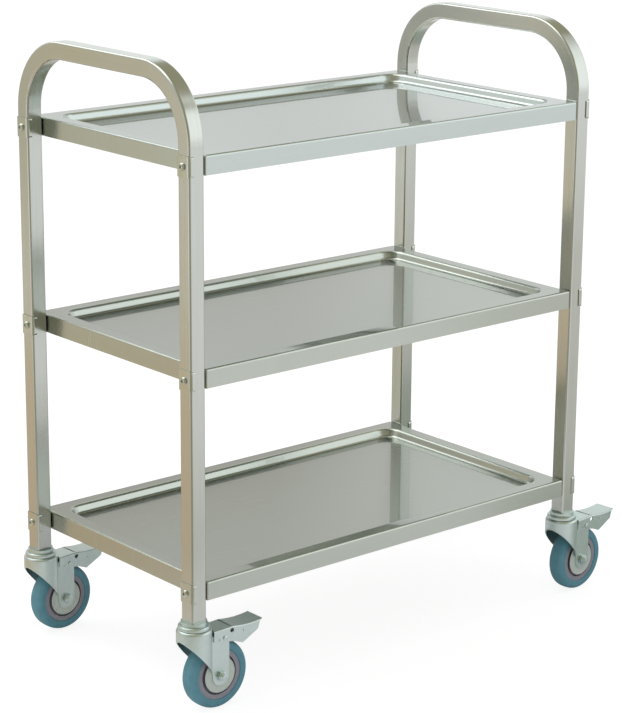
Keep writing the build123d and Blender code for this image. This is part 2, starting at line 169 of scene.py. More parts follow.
dark = put(tree, "ShaderNodeMapRange", {"Value": to_front.outputs["Value"], **dark_edge}, **smoothly)
clear = put(tree, "ShaderNodeMapRange", {"Value": away, **dark_start}, **smoothly)
dark = put(tree, "ShaderNodeMath", {0: dark.outputs[0], 1: clear.outputs[0]}, operation="MULTIPLY")
shade = put(tree, "ShaderNodeMix",
            {0: dark.outputs[0], 6: shade.outputs[2], 7: linear(floor_dark)}, **in_colour)
far = put(tree, "ShaderNodeMapRange", {"Value": away, **mirror_glow})
glow = put(tree, "ShaderNodeEmission", {"Color": shade.outputs[2], "Strength": far.outputs[0]})
pale = put(tree, "ShaderNodeVectorMath",
           {0: shade.outputs[2], "Scale": mirror_shadow}, operation="SCALE")
catch = put(tree, "ShaderNodeBsdfDiffuse", {"Color": pale.outputs[0]})
mirrored = put(tree, "ShaderNodeAddShader", {0: glow.outputs[0], 1: catch.outputs[0]})
glow = put(tree, "ShaderNodeEmission", {"Color": linear(floor_white), "Strength": floor_glow})
catch = put(tree, "ShaderNodeBsdfDiffuse", {"Color": linear(floor_shadow)})
shown = put(tree, "ShaderNodeAddShader", {0: glow.outputs[0], 1: catch.outputs[0]})
bounce = put(tree, "ShaderNodeBsdfDiffuse", {"Color": linear(floor_bounce)})
put(tree, "ShaderNodeOutputMaterial", {"Surface": by_ray(tree, shown, mirrored, bounce)})
shape = bmesh.new()
bmesh.ops.create_circle(shape, cap_ends=True, segments=floor_sides, radius=floor_radius,
                        matrix=Matrix.Translation((0, 0, -floor_drop)))
piece("studio_floor", shape, studio_floor)


# The studio room, which only the steel mirrors: pale walls under an olive ceiling, white to the camera.
# The ceiling comes lower behind than in front, and is highest at the right. The back left is dim below
# a window, the front left is dark round the camera, and the front right is bright low down.
wall, ceiling, room_olive = "#FAFEFD", "#A8A389", "#8E8873"
world_light, room_light = 0.75, 1.05
back_left, front_right, bright_way = (-0.7071, 0.7071, 0), (0.951, -0.309, 0), (0.643, -0.766, 0)
behind_rise = {"From Min": 0.20, "From Max": 0.60}
front_rise = {"From Min": 0.50, "From Max": 0.60}
right_rise = {"From Min": 0.65, "From Max": 0.76}
far_edge = {"From Min": -0.3, "From Max": 0.3}
right_edge = {"From Min": 0.915, "From Max": 0.96}
window_rise = {"From Min": 0.18, "From Max": 0.45, "To Min": 0.62, "To Max": 0.0}
window_edge = {"From Min": 0.2, "From Max": 0.8}
camera_edge = {"From Min": 0.25, "From Max": 0.9}
bright_edge = {"From Min": 0.8, "From Max": 0.96, "To Min": 0.0, "To Max": 0.38}

studio = bpy.data.worlds.new("studio")
tree = bare(studio)
way = put(tree, "ShaderNodeTexCoord").outputs["Generated"]
axes = put(tree, "ShaderNodeSeparateXYZ", {0: way}).outputs
level = put(tree, "ShaderNodeVectorMath", {0: way, 1: (1, 1, 0)}, operation="MULTIPLY")
level = put(tree, "ShaderNodeVectorMath", {0: level.outputs[0]}, operation="NORMALIZE").outputs[0]
behind = put(tree, "ShaderNodeMapRange", {"Value": axes["Z"], **behind_rise}, **smoothly)
front = put(tree, "ShaderNodeMapRange", {"Value": axes["Z"], **front_rise}, **smoothly)
right = put(tree, "ShaderNodeMapRange", {"Value": axes["Z"], **right_rise}, **smoothly)
window = put(tree, "ShaderNodeMapRange", {"Value": axes["Z"], **window_rise}, **smoothly)
far = put(tree, "ShaderNodeMapRange", {"Value": axes["Y"], **far_edge}, **smoothly)
rise = put(tree, "ShaderNodeMix", {0: far.outputs[0], 2: front.outputs[0], 3: behind.outputs[0]})
to_right = put(tree, "ShaderNodeVectorMath", {0: level, 1: front_right}, operation="DOT_PRODUCT")
beside = put(tree, "ShaderNodeMapRange", {"Value": to_right.outputs["Value"], **right_edge}, **smoothly)
rise = put(tree, "ShaderNodeMix", {0: beside.outputs[0], 2: rise.outputs[0], 3: right.outputs[0]})
to_back = put(tree, "ShaderNodeVectorMath", {0: way, 1: back_left}, operation="DOT_PRODUCT")
corner = put(tree, "ShaderNodeMapRange", {"Value": to_back.outputs["Value"], **window_edge}, **smoothly)
rise = put(tree, "ShaderNodeMix", {0: corner.outputs[0], 2: rise.outputs[0], 3: window.outputs[0]})
to_front = put(tree, "ShaderNodeVectorMath", {0: way, 1: front_left}, operation="DOT_PRODUCT")
dark = put(tree, "ShaderNodeMapRange", {"Value": to_front.outputs["Value"], **camera_edge}, **smoothly)
dim = put(tree, "ShaderNodeMath", {0: rise.outputs[0], 1: dark.outputs[0]}, operation="MAXIMUM")
gloom = put(tree, "ShaderNodeMix",
            {0: corner.outputs[0], 6: linear(ceiling), 7: linear(room_olive)}, **in_colour)
shade = put(tree, "ShaderNodeMix",
            {0: dim.outputs[0], 6: linear(wall), 7: gloom.outputs[2]}, **in_colour)
to_side = put(tree, "ShaderNodeVectorMath", {0: level, 1: bright_way}, operation="DOT_PRODUCT")
lit = put(tree, "ShaderNodeMapRange", {"Value": to_side.outputs["Value"], **bright_edge}, **smoothly)
low = put(tree, "ShaderNodeMath", {0: 1.0, 1: dim.outputs[0]}, operation="SUBTRACT")
lit = put(tree, "ShaderNodeMath",
          {0: lit.outputs[0], 1: low.outputs[0], 2: room_light}, operation="MULTIPLY_ADD")
mirrored = put(tree, "ShaderNodeBackground", {"Color": shade.outputs[2], "Strength": lit.outputs[0]})
shown = put(tree, "ShaderNodeBackground", {"Color": linear(floor_white), "Strength": 1.0})
air = put(tree, "ShaderNodeBackground", {"Color": linear(floor_white), "Strength": world_light})
put(tree, "ShaderNodeOutputWorld", {"Surface": by_ray(tree, shown, mirrored, air)})
bpy.context.scene.world = studio


# The lamps: two wide soft ones, above and behind at the left, both aimed at the middle of the trolley.
# They are dim for their size, so that thin rounded edges of the steel mirror no hot points.
lamp_aim = Vector((0, 0, 0.6))
for name, place, wide, power, tone in (
    ("soft_key", (-0.8, 0.8, 3.4), 2.6, 34, "#FFFEFA"),
    ("soft_rim", (-1.0, 2.7, 3.1), 2.2, 18, "#FFFFFF"),
):
    lamp = bpy.data.lights.new(name, "AREA")
    lamp.shape = "RECTANGLE"
    lamp.size = lamp.size_y = wide
    lamp.energy = power
    lamp.color = linear(tone)[:3]
    stand = bpy.data.objects.new(name, lamp)
    aim = lamp_aim - Vector(place)
    stand.matrix_world = (Matrix.Translation(place)
                          @ aim.to_track_quat("-Z", "Y").to_matrix().to_4x4())
    bpy.context.scene.collection.objects.link(stand)


# The cards behind the trolley: upright glowing sheets, no lamps, that only the steel mirrors, as painted
# reflections.
# A warm one stands at the back left and a wide pale backdrop behind, which is dimmer low down, most of
# all at its left, and in a band high up. Between the two is a card that is dusky at its foot.
def stand_card(name, paint, place, wide, tall):
    """An upright glowing card, seen in mirrors alone."""
    mesh = bmesh.new()
    bmesh.ops.create_grid(mesh, x_segments=1, y_segments=1, size=0.5,
                          matrix=Matrix.Translation(place) @ Matrix.Rotation(radians(90), 4, "X")
                          @ Matrix.Diagonal((wide, tall, 1, 1)))
    made = piece(name, mesh, paint)
    made.visible_camera = made.visible_diffuse = made.visible_shadow = False
    return made


# each card glows by itself in the colour given, a painted reflection for the steel
card_warm = "#DDD0B3"
warm_card_glow = bpy.data.materials.new("warm_card")
tree = bare(warm_card_glow)
glow = put(tree, "ShaderNodeEmission", {"Color": linear(card_warm), "Strength": 1.0})
put(tree, "ShaderNodeOutputMaterial", {"Surface": glow.outputs[0]})
card = stand_card("warm_card", warm_card_glow, (-1.40, 1.3, 0.5), 0.54, 1)

backdrop_warm = "#FAF7F0"
backdrop_low = {"From Min": 1.2, "From Max": 0.6}
backdrop_left = {"From Min": 0.8, "From Max": 1.25, "To Min": 1.0, "To Max": 0.45}
backdrop_light = {"To Min": 1.13, "To Max": 0.67}
band_foot = {"From Min": 1.14, "From Max": 1.3}
band_right = {"From Min": 1.28, "From Max": 1.12}
band_left = {"From Min": 0.66, "From Max": 0.8}
band_light = {"To Min": 1.0, "To Max": 0.4}
backdrop_glow = bpy.data.materials.new("pale_backdrop")
tree = bare(backdrop_glow)
spot = put(tree, "ShaderNodeTexCoord").outputs["Object"]
axes = put(tree, "ShaderNodeSeparateXYZ", {0: spot}).outputs
low = put(tree, "ShaderNodeMapRange", {"Value": axes["Z"], **backdrop_low})
left = put(tree, "ShaderNodeMapRange", {"Value": axes["X"], **backdrop_left})
dusk = put(tree, "ShaderNodeMath", {0: low.outputs[0], 1: left.outputs[0]}, operation="MULTIPLY")
shade = put(tree, "ShaderNodeMix",
            {0: dusk.outputs[0], 6: linear(wall), 7: linear(backdrop_warm)}, **in_colour)
bright = put(tree, "ShaderNodeMapRange", {"Value": dusk.outputs[0], **backdrop_light})
high = put(tree, "ShaderNodeMapRange", {"Value": axes["Z"], **band_foot})
inner = put(tree, "ShaderNodeMapRange", {"Value": axes["X"], **band_right})
outer = put(tree, "ShaderNodeMapRange", {"Value": axes["X"], **band_left})
band = put(tree, "ShaderNodeMath", {0: inner.outputs[0], 1: outer.outputs[0]}, operation="MULTIPLY")
band = put(tree, "ShaderNodeMath", {0: high.outputs[0], 1: band.outputs[0]}, operation="MULTIPLY")
band = put(tree, "ShaderNodeMapRange", {"Value": band.outputs[0], **band_light})
bright = put(tree, "ShaderNodeMath", {0: bright.outputs[0], 1: band.outputs[0]}, operation="MULTIPLY")
glow = put(tree, "ShaderNodeEmission", {"Color": shade.outputs[2], "Strength": bright.outputs[0]})
put(tree, "ShaderNodeOutputMaterial", {"Surface": glow.outputs[0]})
card = stand_card("pale_backdrop", backdrop_glow, (1.08, 1.1, 0.975), 2.05, 1.95)

card_pale = "#FAF8EE"
dusk_light = {"From Min": 0.62, "From Max": 0.95, "To Min": 0.44, "To Max": 0.86}
dusk_card_glow = bpy.data.materials.new("dusk_card")
tree = bare(dusk_card_glow)
spot = put(tree, "ShaderNodeTexCoord").outputs["Object"]
axes = put(tree, "ShaderNodeSeparateXYZ", {0: spot}).outputs
bright = put(tree, "ShaderNodeMapRange", {"Value": axes["Z"], **dusk_light})
glow = put(tree, "ShaderNodeEmission", {"Color": linear(card_pale), "Strength": bright.outputs[0]})
put(tree, "ShaderNodeOutputMaterial", {"Surface": glow.outputs[0]})
card = stand_card("dusk_card", dusk_card_glow, (-0.75, 1.3, 0.96), 0.55, 0.88)


# The two end frames: square stainless tube, bent twice into an inverted U that is two legs and a handle.
# Satin stainless steel, ground along its length: fine lines follow the tube round both bends, and its
# gloss changes softly from patch to patch. The real lines are too fine to show, so these are coarser.
def finish(name):
    """A new material, with its nodes and its shader."""
    made = bpy.data.materials.new(name)
    made.use_nodes = True
    return made, made.node_tree, made.node_tree.nodes["Principled BSDF"]


def dress(material, *names):
    """Gives CAD nodes their finish."""
    for name in names:
        for slot in frame["nodes"][name].material_slots:
            slot.material = material


bend_y, bend_z = 0.095, 0.795  # centre of a bend
tube_dark, tube_pale = "#BEC2BC", "#CCCFCA"
ground_line, smear_patch = 2.381, 71.43  # millimetres
ground_stretch = 0.012
noise_span = {"From Min": 0.3, "From Max": 0.7}
tube_rough = {**noise_span, "To Min": 0.17, "To Max": 0.24}
ground_depth = {"Strength": 0.2, "Distance": 0.0001}
satin_stainless, tree, steel = finish("satin_stainless_tube")
spot = put(tree, "ShaderNodeTexCoord").outputs["Object"]
axes = put(tree, "ShaderNodeSeparateXYZ", {0: spot}).outputs
side = put(tree, "ShaderNodeMath", {0: axes["Y"]}, operation="ABSOLUTE")
past_y = put(tree, "ShaderNodeMath", {0: side.outputs[0], 1: bend_y}, operation="SUBTRACT")
past_y = put(tree, "ShaderNodeMath", {0: past_y.outputs[0], 1: 0.0}, operation="MAXIMUM")
past_z = put(tree, "ShaderNodeMath", {0: axes["Z"], 1: bend_z}, operation="SUBTRACT")
past_z = put(tree, "ShaderNodeMath", {0: past_z.outputs[0], 1: 0.0}, operation="MAXIMUM")
reach = put(tree, "ShaderNodeCombineXYZ", {"X": past_y.outputs[0], "Y": past_z.outputs[0]})
reach = put(tree, "ShaderNodeVectorMath", {0: reach.outputs[0]}, operation="LENGTH")
along = put(tree, "ShaderNodeMath", {0: axes["Y"], 1: axes["Z"]}, operation="ADD")
along = put(tree, "ShaderNodeMath", {0: along.outputs[0], 1: ground_stretch}, operation="MULTIPLY")
ground = put(tree, "ShaderNodeCombineXYZ",
             {"X": axes["X"], "Y": reach.outputs["Value"], "Z": along.outputs[0]})
grain = put(tree, "ShaderNodeTexNoise",
            {"Vector": ground.outputs[0], "Scale": 1000 / ground_line, "Detail": 3.0})
smear = put(tree, "ShaderNodeTexNoise", {"Vector": spot, "Scale": 1000 / smear_patch, "Detail": 2.0})
tone = put(tree, "ShaderNodeMix",
           {0: grain.outputs[0], 6: linear(tube_dark), 7: linear(tube_pale)}, **in_colour)
rough = put(tree, "ShaderNodeMapRange", {"Value": smear.outputs[0], **tube_rough})
lines = put(tree, "ShaderNodeBump", {"Height": grain.outputs[0], **ground_depth})
tree.links.new(tone.outputs[2], steel.inputs["Base Color"])
tree.links.new(rough.outputs[0], steel.inputs["Roughness"])
tree.links.new(lines.outputs[0], steel.inputs["Normal"])
steel.inputs["Metallic"].default_value = 1
dress(satin_stainless, "left_end_frame", "right_end_frame")


# The three trays: one stainless sheet each, pressed into a shallow floor and folded down into aprons.
# Bright rolled sheet, nearly a mirror: a slow waviness bends what it mirrors, and faint rolling lines,
# drawn coarser than the real ones, run along it. The top sheet is painted a little paler and cooler than
# the two below it, as painted light: more light falls on the top tray.
sheet_dark, sheet_pale = "#B3B9B1", "#BAC0B8"
lit_top_dark, lit_top_pale = "#BAC3C1", "#C1CAC7"
grazing_tint = "#BCBCBC"
rolled_line, wave_length = 3.333, 142.86  # millimetres
rolled_stretch = 0.02
apron_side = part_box("top_tray")[1].y - 0.0015  # just inside the face of an apron
under_top = 0.6
# the front borders of the two lower trays hang in their middle, and mirror the tray above them there
border_line, sag_middle, sag_slope = 0.176, -0.155, 0.18
sag_reach = {"From Min": 0.19, "From Max": 0.49, "To Min": 0.215, "To Max": 0.11}
sheet_rough = {**noise_span, "To Min": 0.25, "To Max": 0.275}
wave_depth = {"Strength": 0.12, "Distance": 0.002}
rolled_depth = {"Strength": 0.012, "Distance": 0.0001}
bright_sheet, tree, steel = finish("bright_rolled_stainless_sheet")
spot = put(tree, "ShaderNodeTexCoord").outputs["Object"]
axes = put(tree, "ShaderNodeSeparateXYZ", {0: spot}).outputs
along = put(tree, "ShaderNodeMath", {0: axes["X"], 1: axes["Z"]}, operation="ADD")
along = put(tree, "ShaderNodeMath", {0: along.outputs[0], 1: rolled_stretch}, operation="MULTIPLY")
side = put(tree, "ShaderNodeMath", {0: axes["Y"]}, operation="ABSOLUTE")
folded = put(tree, "ShaderNodeMath", {0: side.outputs[0], 1: apron_side}, operation="GREATER_THAN")
folded = put(tree, "ShaderNodeMath", {0: folded.outputs[0], 1: axes["Z"]}, operation="MULTIPLY")
over = put(tree, "ShaderNodeMath", {0: axes["Y"], 1: folded.outputs[0]}, operation="ADD")
rolled = put(tree, "ShaderNodeCombineXYZ", {"X": along.outputs[0], "Y": over.outputs[0]})
rolling = put(tree, "ShaderNodeTexNoise",
              {"Vector": rolled.outputs[0], "Scale": 1000 / rolled_line, "Detail": 3.0}).outputs[0]
wave = put(tree, "ShaderNodeTexNoise", {"Vector": spot, "Scale": 1000 / wave_length, "Detail": 1.0})
lower = put(tree, "ShaderNodeMix",
            {0: rolling, 6: linear(sheet_dark), 7: linear(sheet_pale)}, **in_colour)
# painted light: the top tray's sheet colour is a paler, cooler copy, for the greater light that falls on
# it
lit_top_tone = put(tree, "ShaderNodeMix",
            {0: rolling, 6: linear(lit_top_dark), 7: linear(lit_top_pale)}, **in_colour)
below = put(tree, "ShaderNodeMath", {0: axes["Z"], 1: under_top}, operation="LESS_THAN")
tone = put(tree, "ShaderNodeMix",
           {0: below.outputs[0], 6: lit_top_tone.outputs[2], 7: lower.outputs[2]}, **in_colour)
rough = put(tree, "ShaderNodeMapRange", {"Value": rolling, **sheet_rough})
swell = put(tree, "ShaderNodeBump", {"Height": wave.outputs[0], **wave_depth})
middle = put(tree, "ShaderNodeMath", {0: axes["X"], 1: sag_middle}, operation="SUBTRACT")
reach = put(tree, "ShaderNodeMapRange", {"Value": axes["Z"], **sag_reach})
middle = put(tree, "ShaderNodeMath", {0: middle.outputs[0], 1: reach.outputs[0]}, operation="DIVIDE")
middle = put(tree, "ShaderNodeMath", {0: middle.outputs[0], 1: 2.0}, operation="POWER")
middle = put(tree, "ShaderNodeMapRange",
             {"Value": middle.outputs[0], "To Min": sag_slope, "To Max": 0.0})
past = put(tree, "ShaderNodeMath", {0: axes["Y"], 1: border_line}, operation="ADD")
past = put(tree, "ShaderNodeMath", {0: past.outputs[0], 1: 0.0}, operation="MINIMUM")
sag = put(tree, "ShaderNodeMath", {0: past.outputs[0], 1: middle.outputs[0]}, operation="MULTIPLY")
sag = put(tree, "ShaderNodeMath", {0: sag.outputs[0], 1: below.outputs[0]}, operation="MULTIPLY")
swell = put(tree, "ShaderNodeBump",
            {"Height": sag.outputs[0], "Strength": 1.0, "Distance": 1.0, "Normal": swell.outputs[0]})
lines = put(tree, "ShaderNodeBump", {"Height": rolling, "Normal": swell.outputs[0], **rolled_depth})
tree.links.new(tone.outputs[2], steel.inputs["Base Color"])
tree.links.new(rough.outputs[0], steel.inputs["Roughness"])
tree.links.new(lines.outputs[0], steel.inputs["Normal"])
tree.links.new(swell.outputs[0], steel.inputs["Coat Normal"])
steel.inputs["Metallic"].default_value = 1
steel.inputs["Specular Tint"].default_value = linear(grazing_tint)
steel.inputs["Coat Weight"].default_value = 1
steel.inputs["Coat Roughness"].default_value = 0.03
steel.inputs["Coat IOR"].default_value = 1.6
dress(bright_sheet, "bottom_tray", "middle_tray", "top_tray")


# The saddle plates: small pressings that wrap the outer face of each leg under a bolt head.
# Polished stainless sheet, tumbled after pressing: every edge is a little round and catches the light,
# and the faces have the fine unevenness of tumbling, drawn a few millimetres wide so that it shows.
merge_gap = 0.000002
sharp_edge, smooth_edge = radians(30), radians(32)


def merged_copy(node):
    """A copy of a CAD node's mesh, with its triangles merged and its flat faces made whole."""
    mesh = bmesh.new()
    mesh.from_mesh(frame["nodes"][node].data)
    bmesh.ops.remove_doubles(mesh, verts=mesh.verts[:], dist=merge_gap)
    bmesh.ops.dissolve_limit(mesh, angle_limit=radians(0.5), verts=mesh.verts[:], edges=mesh.edges[:])
    return mesh


def ease(mesh, width):
    """Rounds the sharp edges of a mesh by a width in millimetres."""
    edges = [edge for edge in mesh.edges if edge.is_manifold and edge.calc_face_angle() > sharp_edge]
    bmesh.ops.bevel(mesh, geom=edges, offset=width / 1000, offset_type="OFFSET", segments=2,
                    profile=0.5, affect="EDGES", material=-1, clamp_overlap=True)


def smooth(made):
    """Shades a piece smooth, apart from its sharp edges."""
    made.data.shade_smooth()
    made.data.set_sharp_from_angle(angle=smooth_edge)
    return made


def flatten(made):
    """Keeps the wide faces of a pressing flat to the eye, next to its rounded edges."""
    made.modifiers.new("flat_faces", "WEIGHTED_NORMAL").keep_sharp = True
    return made


def mottle(tree, shader, size, detail, dark, pale):
    """Colours a shader by a noise of a size in millimetres between two colours, and returns the noise."""
    spot = put(tree, "ShaderNodeTexCoord").outputs["Object"]
    noise = put(tree, "ShaderNodeTexNoise", {"Vector": spot, "Scale": 1000 / size, "Detail": detail})
    tone = put(tree, "ShaderNodeMix",
               {0: noise.outputs[0], 6: linear(dark), 7: linear(pale)}, **in_colour)
    tree.links.new(tone.outputs[2], shader.inputs["Base Color"])
    return noise.outputs[0]


plate_ease = 0.45
plate_dark, plate_pale = "#BCC2BA", "#CCD0C8"
tumble_size = 3.846  # millimetres
plate_rough = {**noise_span, "To Min": 0.14, "To Max": 0.22}
tumble_depth = {"Strength": 0.1, "Distance": 0.0002}
polished_stainless, tree, steel = finish("polished_stainless_pressing")
tumble = mottle(tree, steel, tumble_size, 2.0, plate_dark, plate_pale)
rough = put(tree, "ShaderNodeMapRange", {"Value": tumble, **plate_rough})
dents = put(tree, "ShaderNodeBump", {"Height": tumble, **tumble_depth})
tree.links.new(rough.outputs[0], steel.inputs["Roughness"])
tree.links.new(dents.outputs[0], steel.inputs["Normal"])
steel.inputs["Metallic"].default_value = 1
shape = merged_copy("saddle_plates")
ease(shape, plate_ease)
plates = flatten(smooth(piece("saddle_plates_tumbled", shape, polished_stainless)))
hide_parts("saddle_plates")
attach(plates, "frame")


# The tray bolts: one through each plate, leg and apron, twelve in all.
# Turned stainless with the plates' polish: a dome head with a hexagon socket, and a thread that shows
# past the nut. Each is drawn about Z, from the outer face of the leg, in millimetres.
def turn_profile(points, steps=60):
    """A mesh turned about Z from the corners of a half section, as radius and height in millimetres."""
    mesh = bmesh.new()
    line = [mesh.verts.new((radius / 1000, 0, height / 1000)) for radius, height in points]
    edges = [mesh.edges.new(pair) for pair in zip(line, line[1:])]
    bmesh.ops.spin(mesh, geom=line + edges, axis=(0, 0, 1), angle=2 * pi, steps=steps, use_merge=True)
    bmesh.ops.remove_doubles(mesh, verts=mesh.verts[:], dist=merge_gap)
    bmesh.ops.recalc_face_normals(mesh, faces=mesh.faces[:])
    return mesh


def hexagon_reach(vert, across):
    """How far out a hexagon of the width given across flats is, in the direction of a vertex."""
    return across / 2000 / cos(atan2(vert.co.y, vert.co.x) % (pi / 3) - pi / 6)


def push_out(vert, reach):
    """Moves a vertex to a distance from the Z axis."""
    vert.co.xy = vert.co.xy.normalized() * reach


def thread(radius, start, end, pitch):
    """Half section of a thread, drawn as rings of its pitch, from one height to the next."""
    depth = 0.54 * pitch  # as metric threads have
    turns = round(abs(end - start) / pitch)
    step = (end - start) / turns
    points = []
    for turn in range(turns):
        points += [(radius, start + step * turn), (radius - depth, start + step * (turn + 0.5))]
    return points + [(radius, end)]


def copies(mesh, places):
    """One mesh with a copy of the mesh given at each place."""
    single = bpy.data.meshes.new("single")
    mesh.to_mesh(single)
    mesh.free()
    every = bmesh.new()
    for place in places:
        one = single.copy()
        one.transform(place)
        every.from_mesh(one)
        bpy.data.meshes.remove(one)
    bpy.data.meshes.remove(single)
    return every


half_tube = 0.0125
left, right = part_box("left_end_frame"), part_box("right_end_frame")
leg_side = (left[1].y - left[0].y) / 2 - half_tube
joint_places = []
for tray in ("bottom_tray", "middle_tray", "top_tray"):
    low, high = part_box(tray)
    for side in (-leg_side, leg_side):
        for face, turn in ((left[0].x, -90), (right[1].x, 90)):
            joint_places.append(Matrix.Translation((face, side, (low.z + high.z) / 2))
                                @ Matrix.Rotation(radians(turn), 4, "Y"))
head_low, head_high = 1.55, 5.05
dome = [(2.6, head_high), (2.9, 5.0), (3.7, 4.72), (4.5, 4.2), (5.1, 3.5), (5.42, 2.75), (5.5, 2.1),
        (5.3, head_low)]
socket_flats, socket_round, socket_floor = 4.0, 1.9, head_high - 2.0
shank, nut_seat, nut_height, bolt_end = 3.0, -27.2, 5.0, -34.2
bolt_tip, bolt_pitch = [(2.4, bolt_end), (0, bolt_end)], 0.8
thread_start, thread_end = nut_seat - nut_height, bolt_end + 0.4
shape = turn_profile(
    [(0, socket_floor), (socket_round, socket_floor), (socket_round, head_high)] + dome
    + [(shank, head_low)] + thread(shank, thread_start, thread_end, bolt_pitch) + bolt_tip)
for vert in shape.verts:
    if abs(vert.co.xy.length * 1000 - socket_round) < 0.1 and vert.co.z > 0:
        push_out(vert, hexagon_reach(vert, socket_flats))
bolts = smooth(piece("dome_bolts", copies(shape, joint_places), polished_stainless))
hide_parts("tray_bolts")
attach(bolts, "frame")


# The spacer washers: thin rings on the bolts that hold each tray off its legs.
# Stamped stainless sheet, with the plates' polish.
dress(polished_stainless, "spacer_washers")


# The tray nuts: one on each bolt, inside the apron.
# Zinc-plated steel hexagon nuts with chamfered corners. Bright zinc is a pale metal with a cool cast
# and a soft gloss, mottled by the bath in spots of a few millimetres.
def hexagon_nut(across, low, high, bore, collar=0):
    """A nut on Z with chamfered corners, and a round locking collar on top if it has one."""
    # radii are shares of the width across flats; the rim is as far out as the corners
    chamfer, rim, edge = 0.475 * across, 0.5774 * across, 0.5
    points = [(bore, low), (chamfer, low), (rim, low + edge), (rim, high - edge), (chamfer, high)]
    if collar:
        points += [(0.46 * across, high), (0.455 * across, high + 0.6 * collar),
                   (0.42 * across, high + 0.88 * collar), (0.36 * across, high + collar)]
    points += [(bore, high + collar), (bore, low)]
    mesh = turn_profile(points)
    for vert in mesh.verts:
        if vert.co.xy.length > (rim - 0.01) / 1000:
            reach = hexagon_reach(vert, across)
            cut = max(0, reach - chamfer / 1000) * tan(radians(30))
            top = vert.co.z > (low + high) / 2000
            push_out(vert, reach)
            vert.co.z = high / 1000 - cut if top else low / 1000 + cut
    return mesh


zinc_dark, zinc_pale = "#C1D0CF", "#D1DDDB"
zinc_spot = 6.25  # millimetres
zinc_rough = {**noise_span, "To Min": 0.30, "To Max": 0.38}
zinc_edge = 0.0005
zinc_depth = {"Strength": 0.06, "Distance": 0.0002}
zinc_plate, tree, zinc = finish("bright_zinc_plate")
spots = mottle(tree, zinc, zinc_spot, 3.0, zinc_dark, zinc_pale)
rough = put(tree, "ShaderNodeMapRange", {"Value": spots, **zinc_rough})
edge = put(tree, "ShaderNodeBevel", {"Radius": zinc_edge}, samples=4)
bath = put(tree, "ShaderNodeBump", {"Height": spots, "Normal": edge.outputs[0], **zinc_depth})
tree.links.new(rough.outputs[0], zinc.inputs["Roughness"])
tree.links.new(bath.outputs[0], zinc.inputs["Normal"])
zinc.inputs["Metallic"].default_value = 1
nut_flats, nut_bore = 10, 3.05
shape = hexagon_nut(nut_flats, nut_seat - nut_height, nut_seat, nut_bore)
nuts = smooth(piece("tray_nuts_chamfered", copies(shape, joint_places), zinc_plate))
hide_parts("tray_nuts")
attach(nuts, "frame")


# The plugs in the feet of the legs, which take the screwed stems of the casters.
# Moulded black nylon: dull and dark, with a fine grain that is drawn 1 mm wide so that it shows.
nylon_dark, nylon_pale = "#151515", "#242424"
nylon_grain = 1.111  # millimetres
nylon_depth = {"Strength": 0.3, "Distance": 0.0001}
black_nylon, tree, nylon = finish("moulded_black_nylon")
grit = mottle(tree, nylon, nylon_grain, 2.0, nylon_dark, nylon_pale)
grains = put(tree, "ShaderNodeBump", {"Height": grit, **nylon_depth})
tree.links.new(grains.outputs[0], nylon.inputs["Normal"])
nylon.inputs["Roughness"].default_value = 0.5
dress(black_nylon, "tube_inserts")


# The caster stems, swivel bearings and forks: turned stems with pressed races, and under each a fork
# that is pressed from sheet and turns on a ring of balls; a bush in it carries the wheel.
# All are zinc-plated steel, like the nuts.
corners = ("front_left", "back_left", "front_right", "back_right")
dress(zinc_plate, "caster_stems", "top_races", "lower_washers")
for corner in corners:
    dress(zinc_plate, f"{corner}_fork", f"{corner}_ball_ring", f"{corner}_bush")


# The axles: a hexagon bolt through both fork legs and the bush, held by a locking nut.
# Zinc-plated steel like the fork; the nut has a round collar, and the thread stands a little out of it.
# Each is drawn about Z, from the middle of the wheel, in millimetres.
joints = {joint["name"]: joint for joint in frame["joints"]}


def axle_place(corner):
    """A wheel's axle, with Z along it towards the nut and X the way the caster trails."""
    joint = joints[f"{corner}_roll"]
    along = -Vector(joint["axis"])
    trail = Vector((0, 0, 1)).cross(along)
    turn = Matrix((trail, (0, 0, 1), along)).transposed().to_4x4()
    return Matrix.Translation(joint["pos_m"]) @ turn


axle_flats, axle_shank, axle_bore, leg_face = 13, 4.0, 4.05, 15.5
hexagon_high, collar_high = 5.3, 2.2
head_round, head_rim, head_edge = 6.1, 7.5, 0.5
head_end, nut_end, axle_end = -leg_face - 5.3, leg_face + 7.5, 24.9
axle_tip, axle_pitch, axle_thread_end = [(3.3, axle_end), (0, axle_end)], 1.2, axle_end - 0.3
for corner in corners:
    shape = hexagon_nut(axle_flats, leg_face, leg_face + hexagon_high, axle_bore, collar_high)
    nut = smooth(piece(f"{corner}_locking_nut", copies(shape, [axle_place(corner)]), zinc_plate))
    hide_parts(f"{corner}_axle_nut")
    shape = turn_profile(
        [(0, head_end), (head_round, head_end), (head_rim, head_end + head_edge), (head_rim, -leg_face),
         (axle_shank, -leg_face)] + thread(axle_shank, nut_end, axle_thread_end, axle_pitch) + axle_tip)
    for vert in shape.verts:
        if vert.co.xy.length > (head_rim - 0.1) / 1000:
            reach = hexagon_reach(vert, axle_flats)
            push_out(vert, reach)
            if vert.co.z < -(leg_face + 0.1) / 1000:
                cut = max(0, reach - head_round / 1000) * tan(radians(30))
                vert.co.z = head_end / 1000 + cut
    bolt = smooth(piece(f"{corner}_hexagon_bolt", copies(shape, [axle_place(corner)]), zinc_plate))
    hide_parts(f"{corner}_axle_bolt")
    for made in (nut, bolt):
        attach(made, f"{corner}_caster")
